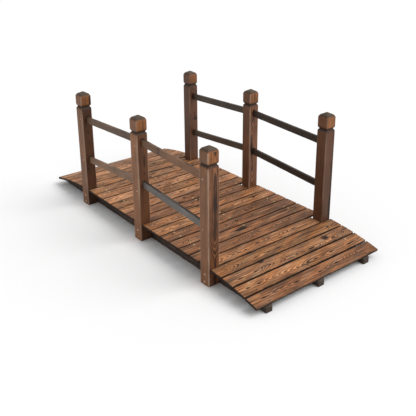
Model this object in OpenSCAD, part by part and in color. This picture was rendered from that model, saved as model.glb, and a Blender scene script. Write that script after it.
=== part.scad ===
// Small garden bridge of charred fir: a slatted deck that is level between the end posts and
// curves down to the ground at both ends, three stringers that lie flat on the ground, and
// six posts with grooved caps that carry two sloping rails on each side.
//
// The origin is on the ground under the middle of the bridge. +X runs along the bridge to the
// right-hand end, +Y to the back side, +Z up. Board 1 is at the right-hand end.

/* [Deck] */
// Length of a full deck board, across the bridge
board_l = 669; // [650:1:690]
// Width of a deck board
board_w = 59.5; // [54:0.5:62]
// Thickness of a deck board
board_t = 10; // [8:0.5:12]
// Distance between the centres of neighbouring boards, along the deck
board_pitch = 66.7; // [64:0.1:68]
// Bevel along the two upper edges of a board
board_bevel = 1.2; // [0.4:0.1:2.5]
// Gap at each end of a short board that lies between two posts
short_gap = 2; // [0.5:0.5:10]
// Distance that the full boards sit behind the middle of the frame
board_shift = 6; // [0:0.5:8]
// Height of the deck's top where it is level
deck_h = 78; // [72:1:90]
// Length of the level stretch of the deck
deck_flat = 864; // [840:2:930]
// Radius of the deck's top where it curves down at both ends
deck_r = 1380; // [1350:10:1800]

/* [Stringers] */
// Length of a stringer, which is the length of the bridge
stringer_l = 1524; // [1510:1:1560]
// Thickness of a stringer
stringer_w = 31; // [20:1:40]
// Corner that is cut off each upper end of a stringer
stringer_nose = 6; // [2:0.5:10]

/* [Posts] */
// Side of a square post
post_w = 53; // [48:0.5:55]
// Bevel down the four corners of a post
post_bevel = 3; // [2:0.5:6]
// Distance between the outer faces of the front posts and the back posts
posts_span = 672; // [655:1:690]
// Room between a post and the deck board that it stands against
post_clear = 0.3; // [0.1:0.1:0.5]
// Height from the ground to the point of a post
post_h = 561; // [560:1:600]
// Rise of the pyramid on top of the cap
cap_rise = 16; // [10:1:20]
// Height of the upright sides of the cap
cap_side = 42; // [38:1:46]
// Flat that eases the edge between the sides of the cap and its pyramid
cap_ease = 3; // [1:0.5:5]
// Height of the V groove under the cap
neck_h = 24; // [20:1:26]
// Depth of the V groove under the cap
neck_d = 7; // [5:0.5:9]
// Height of the steep flat that eases each lip of the V groove
lip_h = 7; // [4:0.5:8]
// Depth of the flat on each lip of the V groove
lip_d = 2.5; // [1:0.5:4]

/* [Rails] */
// Height of a rail
rail_h = 30; // [22:0.5:32]
// Thickness of a rail
rail_t = 11; // [8:0.5:16]
// Top of the upper rails on the middle posts
upper_mid_z = 465; // [450:1:466]
// Top of the upper rails on the end posts
upper_end_z = 443; // [430:1:460]
// Top of the lower rails on the middle posts
lower_mid_z = 278; // [260:1:300]
// Top of the lower rails on the end posts
lower_end_z = 245; // [230:1:280]
// Length of the tenon that enters a post
tenon_l = 15; // [8:0.5:18]
// Open slot left in a mortise along the front face of its rail
mortise_side_room = 2; // [0.5:0.5:4]
// Room left in a mortise above its rail
mortise_top_room = 1; // [0.5:0.5:2]
// Room left in a mortise past the end of its tenon
mortise_end_room = 1; // [0.5:0.5:3]

/* [Hidden] */
BOARD_COUNT = 23;
// A short board and a pair of posts come at every seventh board
BAY_BOARDS = 7;
STRINGERS = ["front", "middle", "back"];
SIDES = ["front", "back"];
PLACES = ["left", "middle", "right"];
BAYS = ["left", "right"];
LEVELS = ["upper", "lower"];

function board_name(number) = str("deck_board_", number < 10 ? "0" : "", number);
function stringer_name(row) = str("stringer_", STRINGERS[row]);
function post_name(side, place) = str("post_", SIDES[side], "_", PLACES[place]);
function rail_name(side, bay, level) = str("rail_", SIDES[side], "_", BAYS[bay], "_", LEVELS[level]);

// Faces round a full circle, for the long arcs
ARC_FACES = 720;
// How far a cut runs past the face that it starts from
CUT_PAST = 5;

DECK_COLOR = [0.60, 0.38, 0.21];
DECK_COLOR_DARK = [0.50, 0.30, 0.17];
FRAME_COLOR = [0.30, 0.22, 0.17];
POST_COLOR = [0.42, 0.26, 0.17];
RAIL_COLOR = [0.24, 0.18, 0.15];

// The frame sits a little to the front and the full boards a little to the back
frame_y = -board_shift / 2;
board_y = board_shift / 2;
stringer_h = deck_h - board_t;
stringer_r = deck_r - board_t;
// Outer faces of the stringers, which are the inner faces of the posts
frame_half = posts_span / 2 - post_w;
short_l = 2 * (frame_half - short_gap);
cap_z = post_h - cap_rise - cap_side;
neck_z = cap_z - neck_h / 2;

// A board's slot counts from the middle of the bridge, positive to the right
function slot_of(number) = (BOARD_COUNT + 1) / 2 - number;
function is_short(slot) = slot % BAY_BOARDS == 0 && abs(slot) <= BAY_BOARDS;

// Slope, in degrees, and place of the deck's top at a distance s along it from the middle
function deck_slope(s) = sign(s) * max(abs(s) - deck_flat / 2, 0) / deck_r * 180 / PI;
function deck_x(s) = sign(s) * min(abs(s), deck_flat / 2) + deck_r * sin(deck_slope(s));
function deck_z(s) = deck_h - deck_r * (1 - cos(deck_slope(s)));

// The lower left edge of the board in a slot
function board_left_x(slot) =
    let (s = slot * board_pitch, slope = deck_slope(s))
    deck_x(s) - board_w / 2 * cos(slope) - max(board_t * sin(slope), 0);

// Each post stands against the board on its right
function post_x(place) = board_left_x(BAY_BOARDS * (place - 1) + 1) - post_clear - post_w / 2;
function post_y(side) = frame_y + (side == 0 ? -1 : 1) * (posts_span - post_w) / 2;

// The outer stringers stand inside the posts, and the middle one under the middle of the bridge
function stringer_y(row) = row == 1 ? 0 : frame_y + (row - 1) * (frame_half - stringer_w / 2);

// Height of the top of a rail on the line from one post's centre to the next
function rail_end_z(level, place) =
    place == 1 ? (level == 0 ? upper_mid_z : lower_mid_z) : (level == 0 ? upper_end_z : lower_end_z);
function rail_top(bay, level, x) =
    let (xa = post_x(bay), xb = post_x(bay + 1), za = rail_end_z(level, bay), zb = rail_end_z(level, bay + 1))
    za + (zb - za) * (x - xa) / (xb - xa);
function rail_depth(bay, level) =
    let (rise = rail_end_z(level, bay + 1) - rail_end_z(level, bay), run = post_x(bay + 1) - post_x(bay))
    rail_h * sqrt(1 + pow(rise / run, 2));

// Height of the top of a stringer at x, out where it curves
function stringer_top(x) = stringer_h - stringer_r + sqrt(pow(stringer_r, 2) - pow(x - deck_flat / 2, 2));

// Stands a drawing in X and Z upright, and gives it a thickness centred on Y
module upright(thickness) {
    rotate([90, 0, 0]) linear_extrude(height = thickness, center = true) children();
}

// Cross section of a deck board, with the middle of its top face at the origin
module board_section() {
    half = board_w / 2;
    polygon([
        [-half, -board_t],
        [half, -board_t],
        [half, -board_bevel],
        [half - board_bevel, 0],
        [board_bevel - half, 0],
        [-half, -board_bevel]
    ]);
}

// A deck board: a full one, or a short one between two posts
module deck_board(number) {
    slot = slot_of(number);
    s = slot * board_pitch;
    short = is_short(slot);
    color(number % 2 == 0 ? DECK_COLOR_DARK : DECK_COLOR)
        translate([deck_x(s), short ? frame_y : board_y, deck_z(s)])
            rotate([0, deck_slope(s), 0])
                upright(short ? short_l : board_l) board_section();
}

// Side view of a stringer: flat underneath, level on top, and curved down at both ends
module stringer_side() {
    end_x = stringer_l / 2;
    nose_x = end_x - stringer_nose;
    difference() {
        intersection() {
            translate([-end_x, 0]) square([stringer_l, stringer_h]);
            union() {
                translate([-deck_flat / 2, 0]) square([deck_flat, stringer_h]);
                for (end = [-1, 1])
                    translate([end * deck_flat / 2, stringer_h - stringer_r])
                        circle(r = stringer_r, $fn = ARC_FACES);
            }
        }
        for (end = [0, 1])
            mirror([end, 0]) polygon([
                [nose_x, stringer_top(nose_x)],
                [end_x, stringer_top(end_x) - stringer_nose],
                [end_x + CUT_PAST, stringer_top(end_x) - stringer_nose],
                [end_x + CUT_PAST, stringer_h],
                [nose_x, stringer_h]
            ]);
    }
}

module stringer(row) {
    color(FRAME_COLOR)
        translate([0, stringer_y(row), 0])
            upright(stringer_w) stringer_side();
}

// A square with its four corners bevelled
module post_section() {
    intersection() {
        square(post_w, center = true);
        rotate(45) square((post_w - post_bevel) * sqrt(2), center = true);
    }
}

// One side of the V groove with its eased lips, as a long prism along the right face of a post
module neck_cut() {
    mouth = neck_h / 2;
    lip_z = mouth - lip_h;
    translate([post_w / 2, 0, neck_z])
        upright(post_w + 2 * CUT_PAST) polygon([
            [-neck_d, 0],
            [-lip_d, -lip_z],
            [0, -mouth],
            [CUT_PAST, -mouth],
            [CUT_PAST, mouth],
            [0, mouth],
            [-lip_d, lip_z]
        ]);
}

// A long gable with eased eaves: two of them crossed leave the pyramid of the cap
module gable() {
    half = post_w / 2;
    eaves_z = post_h - cap_rise;
    ease_z = eaves_z + cap_rise * cap_ease / half;
    upright(2 * post_w) polygon([
        [-half, 0],
        [half, 0],
        [half, eaves_z - cap_ease],
        [half - cap_ease, ease_z],
        [0, post_h],
        [cap_ease - half, ease_z],
        [-half, eaves_z - cap_ease]
    ]);
}

// A post before it is mortised: shaft, V groove, and cap with its pyramid
module post_blank() {
    difference() {
        intersection() {
            linear_extrude(height = post_h) post_section();
            gable();
            rotate(90) gable();
        }
        for (quarter = [0:3]) rotate(90 * quarter) neck_cut();
    }
}

// Sloping outline of a rail from x = from to x = to, with room added above it
module rail_side(bay, level, from, to, room = 0) {
    depth = rail_depth(bay, level);
    polygon([
        [from, rail_top(bay, level, from) - depth],
        [to, rail_top(bay, level, to) - depth],
        [to, rail_top(bay, level, to) + room],
        [from, rail_top(bay, level, from) + room]
    ]);
}

// The blind mortise for one rail end. The rail sits on its floor and against its back wall.
module mortise(side, place, bay, level) {
    out = bay < place ? -1 : 1;
    mouth = post_x(place) + out * (post_w / 2 + CUT_PAST);
    blind = post_x(place) + out * (post_w / 2 - tenon_l - mortise_end_room);
    translate([0, post_y(side) - mortise_side_room / 2, 0])
        upright(rail_t + mortise_side_room)
            rail_side(bay, level, min(mouth, blind), max(mouth, blind), mortise_top_room);
}

module post(side, place) {
    color(POST_COLOR)
        difference() {
            translate([post_x(place), post_y(side), 0]) post_blank();
            for (bay = [max(place - 1, 0):min(place, 1)], level = [0:1]) mortise(side, place, bay, level);
        }
}

// A rail of one bay, with its tenons
module rail(side, bay, level) {
    reach = post_w / 2 - tenon_l;
    color(RAIL_COLOR)
        translate([0, post_y(side), 0])
            upright(rail_t) rail_side(bay, level, post_x(bay) + reach, post_x(bay + 1) - reach);
}

for (number = [1:BOARD_COUNT])
    deck_board(number);

for (row = [0:2])
    stringer(row);

for (side = [0:1], place = [0:2])
    post(side, place);

for (side = [0:1], bay = [0:1], level = [0:1])
    rail(side, bay, level);
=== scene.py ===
"""Looks of a small garden bridge of charred fir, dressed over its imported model.

Lengths are in metres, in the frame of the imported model: +X along the bridge to its right-hand end,
+Y to the back side, +Z up, with the origin on the ground under the middle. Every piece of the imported
model is a stick of wood, and each is replaced here by the same stick with softened arrises, screw
dimples and the run of its grain. The grain of a stick is drawn in millimetres along and across it.
A number that is added to a piece's own number is a seed, which fixes the piece's random draws.
"""

import logging
import math
from dataclasses import dataclass, field, replace
from enum import Enum
from typing import Callable, Iterable, Optional, Sequence, Union

import bpy
import numpy as np
from mathutils import Euler, Matrix, Vector

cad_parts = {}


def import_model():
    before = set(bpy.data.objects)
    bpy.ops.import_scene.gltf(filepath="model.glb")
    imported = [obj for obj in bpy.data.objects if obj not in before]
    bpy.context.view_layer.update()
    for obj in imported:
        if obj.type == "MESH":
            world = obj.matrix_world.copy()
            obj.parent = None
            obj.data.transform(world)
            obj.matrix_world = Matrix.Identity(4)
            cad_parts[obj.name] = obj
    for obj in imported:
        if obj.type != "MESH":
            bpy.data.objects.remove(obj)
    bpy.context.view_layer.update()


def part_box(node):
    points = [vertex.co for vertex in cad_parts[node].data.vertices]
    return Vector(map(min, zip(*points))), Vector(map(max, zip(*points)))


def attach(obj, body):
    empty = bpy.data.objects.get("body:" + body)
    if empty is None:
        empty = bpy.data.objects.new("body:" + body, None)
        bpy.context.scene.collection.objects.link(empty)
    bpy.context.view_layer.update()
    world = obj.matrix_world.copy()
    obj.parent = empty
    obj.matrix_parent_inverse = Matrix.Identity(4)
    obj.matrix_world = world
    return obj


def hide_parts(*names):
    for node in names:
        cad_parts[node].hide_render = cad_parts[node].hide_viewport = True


LOG = logging.getLogger("bridge")
BODY = "root"
MM = 0.001
# How many finer layers a noise has where it shows up close
FINE = 3.0

Mesh = bpy.types.Mesh
Material = bpy.types.Material
Socket = bpy.types.NodeSocket
Feed = Union[float, tuple[float, ...], Socket]
Feeds = dict[Union[int, str], Feed]
Colour = tuple[float, float, float]
Scale = tuple[float, float, float]
Pair = tuple[float, float]
Faces = list[tuple[int, ...]]
Swing = Callable[[np.ndarray], np.ndarray]


def paint(chip: str) -> Colour:
    """Turns a colour chip into the linear colour that a shader takes.

    Args:
        chip: The chip as six hexadecimal digits, two each for red, green and blue.

    Returns:
        Linear red, green and blue, each from 0 to 1.
    """
    parts = [int(chip[i:i + 2], 16) / 255 for i in (0, 2, 4)]
    return tuple(p / 12.92 if p <= 0.04045 else ((p + 0.055) / 1.055) ** 2.4 for p in parts)


def wobble(seed: int, wavelength: float, waves: int = 5, gain: float = 1.6,
           spacing: Pair = (0.7, 1.1)) -> Swing:
    """Makes a smooth random line that swings between about -1 and 1.

    Args:
        seed: Number that fixes the line's shape.
        wavelength: Length of its longest wave, in metres.
        waves: How many waves are summed.
        gain: What brings the usual swing of their mean to about 1.
        spacing: Range that the step from each wave's rate to the next is drawn from.

    Returns:
        A function from distances along the line to its values.
    """
    rng = np.random.default_rng(seed)
    turns = 2 * np.pi * rng.random(waves)
    rates = 2 * np.pi / wavelength * (1 + np.arange(waves) * rng.uniform(*spacing))
    weights = 1 / (1 + np.arange(waves))

    def line(t: np.ndarray) -> np.ndarray:
        """Gives the line's values at the distances t."""
        waves_at = np.sin(np.multiply.outer(np.asarray(t, float), rates) + turns)
        return waves_at @ weights / weights.sum() * gain

    return line


def sway(seed: int, swing: Pair, at: np.ndarray) -> np.ndarray:
    """Gives a smooth random swing along a stick.

    Args:
        seed: Number that fixes its shape.
        swing: How far it goes to either side, and the length of its longest wave.
        at: Distances along the stick.

    Returns:
        The swing at each distance.
    """
    size, wavelength = swing
    return size * wobble(seed, wavelength)(at)


def eased(at: np.ndarray, points: Sequence[Pair]) -> np.ndarray:
    """Follows a few points with a line that is level at each of them.

    Args:
        at: Distances at which the line is wanted.
        points: Pairs of distance and value, in rising order of distance.

    Returns:
        The line's value at each distance.
    """
    places = np.array([p[0] for p in points], float)
    values = np.array([p[1] for p in points], float)
    low = np.clip(np.searchsorted(places, at, side="right") - 1, 0, len(places) - 2)
    share = np.clip((at - places[low]) / (places[low + 1] - places[low]), 0, 1)
    share = share * share * (3 - 2 * share)
    return values[low] + (values[low + 1] - values[low]) * share


def near(distance: np.ndarray, reach: float) -> np.ndarray:
    """Gives 1 at a distance of 0 and below it, falling evenly to 0 at the reach."""
    return np.clip(1 - distance / reach, 0, 1)


def bell(distance: np.ndarray, width: float) -> np.ndarray:
    """Gives 1 at a distance of 0, falling softly to either side."""
    return np.exp(-(distance / width) ** 2)


def spread(low: float, high: float, step: float, extra: Iterable[float] = (),
           merge: float = 0.22) -> np.ndarray:
    """Lays evenly spaced lines between two ends and adds some more.

    Args:
        low: First line.
        high: Last line.
        step: Largest distance between two lines.
        extra: Places of further lines.
        merge: Share of the step under which two lines become one.

    Returns:
        All the places, rising.
    """
    count = max(1, math.ceil((high - low) / step))
    more = [e for e in extra if low < e < high]
    lines = np.sort(np.concatenate([np.linspace(low, high, count + 1), more]))
    keep = [lines[0]]
    for line in lines[1:]:
        crowded = line - keep[-1] < step * merge
        if not crowded:
            keep.append(line)
        elif line in more or line == high:
            keep[-1] = line if keep[-1] != low else keep[-1]
    return np.array(keep)


def ribs(low: float, high: float, step: float, rim: np.ndarray, extra: Iterable[float] = ()) -> np.ndarray:
    """Lays lines between two ends, with closer ones just inside each for its rounded arris.

    Args:
        low: First line.
        high: Last line.
        step: Largest distance between two lines.
        rim: How far inside each end the closer lines lie.
        extra: Places of further lines.

    Returns:
        All the places, rising.
    """
    return np.unique(np.concatenate([spread(low, high, step, extra), low + rim, high - rim]))


def paled(marked: np.ndarray) -> np.ndarray:
    """Gives how much the wood's colour is raised where the marks are below 0."""
    return 1 + PALE_GAIN * np.clip(-marked, 0, 1)


def scorched(marked: np.ndarray) -> np.ndarray:
    """Gives the char of the marks, without the places where they are below 0."""
    return np.clip(marked, 0, MOST_CHAR)


def turned_round(quarter: Sequence[Pair]) -> list[Pair]:
    """Repeats the points of a quarter of an outline at each quarter turn."""
    turns = ((1, 0), (0, 1), (-1, 0), (0, -1))
    return [(c * x - s * y, s * x + c * y) for c, s in turns for x, y in quarter]


def show(name: str, data: bpy.types.ID) -> bpy.types.Object:
    """Adds an object to the scene.

    Args:
        name: The object's name.
        data: Its mesh, lamp or camera.

    Returns:
        The new object.
    """
    made = bpy.data.objects.new(name, data)
    bpy.context.scene.collection.objects.link(made)
    return made


class Sheet:
    """The nodes of one material or sky, with short calls for those that the finishes use."""

    def __init__(self, owner: bpy.types.ID) -> None:
        """Clears the nodes of a new material or sky.

        Args:
            owner: The material or sky.
        """
        owner.use_nodes = True
        self.owner = owner
        self.tree = owner.node_tree
        self.tree.nodes.clear()

    def node(self, kind: str, feeds: Optional[Feeds] = None, **settings: object) -> bpy.types.Node:
        """Adds a node.

        Args:
            kind: Its Blender type.
            feeds: What each of its inputs takes, by number or name.
            settings: Its other properties.

        Returns:
            The new node.
        """
        made = self.tree.nodes.new(kind)
        for key, value in settings.items():
            setattr(made, key, value)
        for key, value in (feeds or {}).items():
            self.feed(made.inputs[key], value)
        return made

    def feed(self, socket: Socket, value: Feed) -> None:
        """Links an input to another node's output, or sets its value.

        Args:
            socket: The input.
            value: The output, or the number or colour that it is set to.
        """
        if isinstance(value, Socket):
            self.tree.links.new(value, socket)
        elif isinstance(value, tuple) and len(socket.default_value) == 4:
            socket.default_value = (*value, 1.0)
        else:
            socket.default_value = value

    def math(self, operation: str, a: Feed, b: Feed = 0.0, clamp: bool = False) -> Socket:
        """Adds a sum on two numbers and returns its result."""
        return self.node("ShaderNodeMath", {0: a, 1: b}, operation=operation, use_clamp=clamp).outputs[0]

    def times(self, a: Feed, b: Feed) -> Socket:
        """Adds a product of two numbers and returns it."""
        return self.math("MULTIPLY", a, b)

    def plus(self, a: Feed, b: Feed) -> Socket:
        """Adds the sum of two numbers and returns it."""
        return self.math("ADD", a, b)

    def step(self, value: Feed, low: float, high: float, to: Pair = (0.0, 1.0)) -> Socket:
        """Adds a smooth step.

        Args:
            value: The number that the step looks at.
            low: Where the step starts.
            high: Where it ends.
            to: Its result before and after.

        Returns:
            The step's result.
        """
        feeds = {0: value, 1: low, 2: high, 3: to[0], 4: to[1]}
        return self.node("ShaderNodeMapRange", feeds, interpolation_type="SMOOTHSTEP").outputs[0]

    def noise(self, along: Feed, scale: Scale, detail: float = 2.0) -> Socket:
        """Adds a noise with its own scale in each direction.

        Args:
            along: The coordinates that it follows.
            scale: Waves per metre in each direction.
            detail: How many finer layers it has.

        Returns:
            The noise, from 0 to 1.
        """
        spaced = self.node("ShaderNodeVectorMath", {0: along, 1: scale}, operation="MULTIPLY").outputs[0]
        feeds = {"Vector": spaced, "Scale": 1.0, "Detail": detail}
        return self.node("ShaderNodeTexNoise", feeds).outputs[0]

    def blend(self, share: Feed, a: Feed, b: Feed, kind: str = "MIX") -> Socket:
        """Adds a mix of two colours and returns the mixed colour."""
        made = self.node("ShaderNodeMix", {0: share, 6: a, 7: b}, data_type="RGBA", blend_type=kind)
        return made.outputs[2]

    def attribute(self, name: str) -> bpy.types.Node:
        """Adds a node that reads a value painted on the mesh."""
        return self.node("ShaderNodeAttribute", attribute_name=name)

    def end(self, shader: bpy.types.Node, kind: str = "ShaderNodeOutputMaterial") -> bpy.types.ID:
        """Ends the nodes with a shader and returns the material or sky."""
        self.node(kind, {"Surface": shader.outputs[0]})
        return self.owner


@dataclass(frozen=True)
class CharredFir:
    """Fir that was charred and brushed, so that its late wood stands out as dark bands.

    The bands are the growth rings round a pith line. A stick's mesh carries its place from the pith
    (grain), how far the rings drift along it (drift), the colour of its wood, with painted shade on some
    faces (tint), and how strong the bands, the char with painted shade added in places, and the wear
    are (dress). The scales of the noises are waves per metre, twice across the grain and once along
    it. A pair named edge, rise or fall is where a smooth step starts and ends.
    """

    name: str
    line: Colour = paint("22130a")
    # The char colour also paints the shade that some sticks carry in their char channel
    char: Colour = paint("21150e")
    worn: Colour = paint("b08c70")
    ring: float = 5.6 * MM
    streak: float = 0.75
    swing: float = 0.6
    stripe: float = 190.0
    stripe_along: float = 7.0
    stripe_share: float = 0.6
    lift: float = 0.9
    ragged: float = 1.5
    roughness: float = 0.55
    specular: float = 0.25
    blotch: Scale = (30.0, 30.0, 7.0)
    fibre: Scale = (1500.0, 1500.0, 35.0)
    pore: Scale = (300.0, 300.0, 6.0)
    pore_edge: Pair = (0.56, 0.72)
    strand: Scale = (620.0, 620.0, 26.0)
    char_edge: Pair = (0.2, 0.9)
    least_char: float = 0.12
    rub_edge: Pair = (0.32, 0.62)
    least_rub: float = 0.25
    warps: tuple[tuple[float, Scale], ...] = (
        (0.5, (60.0, 60.0, 14.0)), (0.5, (210.0, 210.0, 42.0)), (0.22, (900.0, 900.0, 45.0)))
    late_rise: Pair = (0.34, 0.68)
    late_fall: Pair = (0.93, 1.0)
    faint_band: float = 0.6
    early_end: float = 0.4
    glow: float = 1.7
    shade_edge: Pair = (0.34, 0.66)
    fibre_edge: Pair = (0.3, 0.7)
    fibre_shade: Pair = (0.86, 1.1)
    fibre_height: float = 0.5
    band_depth: float = 0.6
    bump: Pair = (0.35, 0.5 * MM)
    char_roughness: float = 0.16
    fibre_roughness: float = 0.12

    def build(self) -> Material:
        """Builds the material.

        Returns:
            The new material.
        """
        sheet = Sheet(bpy.data.materials.new(self.name))
        grain = sheet.attribute("grain").outputs["Vector"]
        dress = sheet.node("ShaderNodeSeparateXYZ", {0: sheet.attribute("dress").outputs["Vector"]})
        figure, scorch_and_shade, wear = dress.outputs
        late, early = self._rings(sheet, grain)
        blotch = sheet.noise(grain, self.blotch)
        fibres = sheet.noise(grain, self.fibre)
        wood = self._wood(sheet, grain, blotch, fibres, sheet.times(early, figure))
        pores = sheet.step(sheet.noise(grain, self.pore, FINE), *self.pore_edge, (0.0, self.streak))
        dark = sheet.math("MAXIMUM", sheet.times(late, figure), pores)
        banded = sheet.blend(dark, wood, self.line)
        charred = self._charred(sheet, grain, scorch_and_shade)
        darkened = sheet.blend(charred, banded, self.char)
        uneven = sheet.step(blotch, *self.rub_edge, (self.least_rub, 1.0))
        colour = sheet.blend(sheet.math("MULTIPLY", wear, uneven, clamp=True), darkened, self.worn)
        raised = sheet.times(fibres, self.fibre_height)
        height = sheet.math("SUBTRACT", raised, sheet.times(dark, self.band_depth))
        strength, distance = self.bump
        bump = sheet.node("ShaderNodeBump", {"Strength": strength, "Distance": distance, "Height": height})
        rough = sheet.plus(sheet.times(charred, self.char_roughness), self.roughness)
        look = {
            "Base Color": colour,
            "Roughness": sheet.plus(rough, sheet.times(fibres, self.fibre_roughness)),
            "Normal": bump.outputs[0],
            "Specular IOR Level": self.specular,
        }
        return sheet.end(sheet.node("ShaderNodeBsdfPrincipled", look))

    def _rings(self, sheet: Sheet, grain: Socket) -> tuple[Socket, Socket]:
        """Draws the rings: late wood starts softly and ends sharply, with pale early wood past it.

        Args:
            sheet: The material's nodes.
            grain: Place from the pith line.

        Returns:
            The late wood, 1 where it is darkest, and the early wood, 1 where it is palest.
        """
        flat = sheet.node("ShaderNodeVectorMath", {0: grain, 1: (1.0, 1.0, 0.0)}, operation="MULTIPLY")
        radius = sheet.node("ShaderNodeVectorMath", {0: flat.outputs[0]}, operation="LENGTH")
        rings = sheet.math("DIVIDE", radius.outputs["Value"], self.ring)
        warped = sheet.plus(rings, sheet.attribute("drift").outputs["Fac"])
        for share, scale in self.warps:
            swing = sheet.math("SUBTRACT", sheet.noise(grain, scale), 0.5)
            warped = sheet.plus(warped, sheet.times(swing, share))
        phase = sheet.math("FRACT", warped)
        rise = sheet.step(phase, *self.late_rise)
        band = sheet.times(rise, sheet.step(phase, *self.late_fall, (1.0, 0.0)))
        number = sheet.math("FLOOR", warped)
        chance = sheet.node("ShaderNodeTexWhiteNoise", {"W": number}, noise_dimensions="1D")
        late = sheet.times(band, sheet.step(chance.outputs["Value"], 0.0, 1.0, (self.faint_band, 1.0)))
        return late, sheet.step(phase, 0.0, self.early_end, (1.0, 0.0))

    def _wood(self, sheet: Sheet, grain: Socket, blotch: Feed, fibres: Feed, early: Feed) -> Socket:
        """Mixes the wood between the bands from its tint, in streaks along the grain.

        Args:
            sheet: The material's nodes.
            grain: Place from the pith line.
            blotch: Wide, soft patches.
            fibres: Hair-thin fibres.
            early: Where the palest early wood lies.

        Returns:
            The colour of the wood.
        """
        streaks = sheet.noise(grain, (self.stripe, self.stripe, self.stripe_along), FINE)
        share = self.stripe_share
        both = sheet.plus(sheet.times(streaks, share), sheet.times(blotch, 1 - share))
        shade = sheet.step(both, *self.shade_edge, (1 - self.swing, 1 + self.lift * self.swing))
        shade = sheet.times(shade, sheet.step(fibres, *self.fibre_edge, self.fibre_shade))
        shade = sheet.times(shade, sheet.step(early, 0.0, 1.0, (1.0, self.glow)))
        grey = sheet.node("ShaderNodeCombineColor", {0: shade, 1: shade, 2: shade}).outputs[0]
        return sheet.blend(1.0, sheet.attribute("tint").outputs["Color"], grey, "MULTIPLY")

    def _charred(self, sheet: Sheet, grain: Socket, scorch_and_shade: Feed) -> Socket:
        """Breaks the edge of the char into strands along the grain.

        Args:
            sheet: The material's nodes.
            grain: Place from the pith line.
            scorch_and_shade: How charred each place is, with the painted shade that it carries, without the
                strands.

        Returns:
            The char with its painted shade, from 0 to 1.
        """
        strands = sheet.math("SUBTRACT", sheet.noise(grain, self.strand, FINE), 0.5)
        ragged = sheet.plus(scorch_and_shade, sheet.times(strands, self.ragged))
        return sheet.step(sheet.times(ragged, sheet.step(scorch_and_shade, 0.0, self.least_char)), *self.char_edge)


class Tone(Enum):
    """The colours that the fir has between its dark bands."""

    HONEY = paint("b27d57")
    AMBER = paint("a16e48")
    TAN = paint("996b49")
    RUSSET = paint("946540")
    GINGER = paint("9a6339")
    BROWN = paint("885b3c")
    UMBER = paint("6a442d")
    FAWN = paint("765942")
    SMOKED = paint("6c5745")
    SLATE = paint("6c6661")
    COAL = paint("453931")

    def shaded(self, level: float) -> np.ndarray:
        """Gives the colour made darker or lighter by a level."""
        return np.array(self.value) * level


@dataclass(frozen=True)
class ZincSteel:
    """Yellowish zinc on a steel screw, dulled unevenly from head to head."""

    name: str = "zinc_screw"
    bright: Colour = paint("e6d09a")
    dull: Colour = paint("5c4a35")
    luck: Pair = (0.5, 1.0)
    metal: float = 0.85
    stain: Scale = (420.0, 420.0, 420.0)
    stain_edge: Pair = (0.2, 0.5)
    roughness: Pair = (0.5, 0.3)
    bump: Pair = (0.2, 0.1 * MM)

    def build(self) -> Material:
        """Builds the material.

        Returns:
            The new material.
        """
        sheet = Sheet(bpy.data.materials.new(self.name))
        geometry = sheet.node("ShaderNodeNewGeometry")
        stain = sheet.noise(geometry.outputs["Position"], self.stain, FINE)
        lucky = sheet.step(geometry.outputs["Random Per Island"], *self.luck)
        share = sheet.math("MULTIPLY", lucky, sheet.step(stain, *self.stain_edge), clamp=True)
        strength, distance = self.bump
        bump = sheet.node("ShaderNodeBump", {"Strength": strength, "Distance": distance, "Height": stain})
        look = {
            "Base Color": sheet.blend(share, self.dull, self.bright),
            "Roughness": sheet.step(stain, 0.2, 0.8, self.roughness),
            "Metallic": self.metal,
            "Normal": bump.outputs[0],
        }
        return sheet.end(sheet.node("ShaderNodeBsdfPrincipled", look))


@dataclass(frozen=True)
class Mark:
    """A knot or a charred patch: its place on the face, its two half sizes, and its strength."""

    along: float
    across: float
    half_length: float
    half_width: float
    strength: float = 1.0
    knot: bool = False

    def reach(self, along: np.ndarray, across: np.ndarray) -> np.ndarray:
        """Gives the square of the distance to the mark, 1 on its rim.

        Args:
            along: Distance along the stick.
            across: Distance across its face.

        Returns:
            The squared distance of each point.
        """
        u = (along / MM - self.along) / self.half_length
        v = (across / MM - self.across) / self.half_width
        return u * u + v * v


@dataclass(frozen=True)
class Flame:
    """A row of nested points on the heart line, from one place to another along the stick.

    The points look back towards the start where count is below 0, and on towards the end where it is
    above 0.
    """

    start: float
    end: float
    count: int


# Where the heart lies in clear wood past a dark band, and how far it dips back at an eye, in rings
CLEAR_WOOD = 0.12
TIP_DIP = 0.1
EYE_DIP = 0.28
# Where an eye is widest, as a share of its length, and how far past its ends it fades out
EYE_WIDEST = 0.3
EYE_FADE = 18
# How much paler the wood is at a mark of strength -1, and the most char that marks add up to
PALE_GAIN = 1.1
MOST_CHAR = 2
# How many rings swirl round a knot, and how wide the swirl is
KNOT_RINGS = 2.2
KNOT_SWIRL = 2.4
# The char of an eye, its half width at the tips and what it gains inside, and where a mark's char ends
EYE_CHAR = 0.95
EYE_HALF = 1.2
EYE_SWELL = 4.2
MARK_EDGE = 1.35


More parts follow.
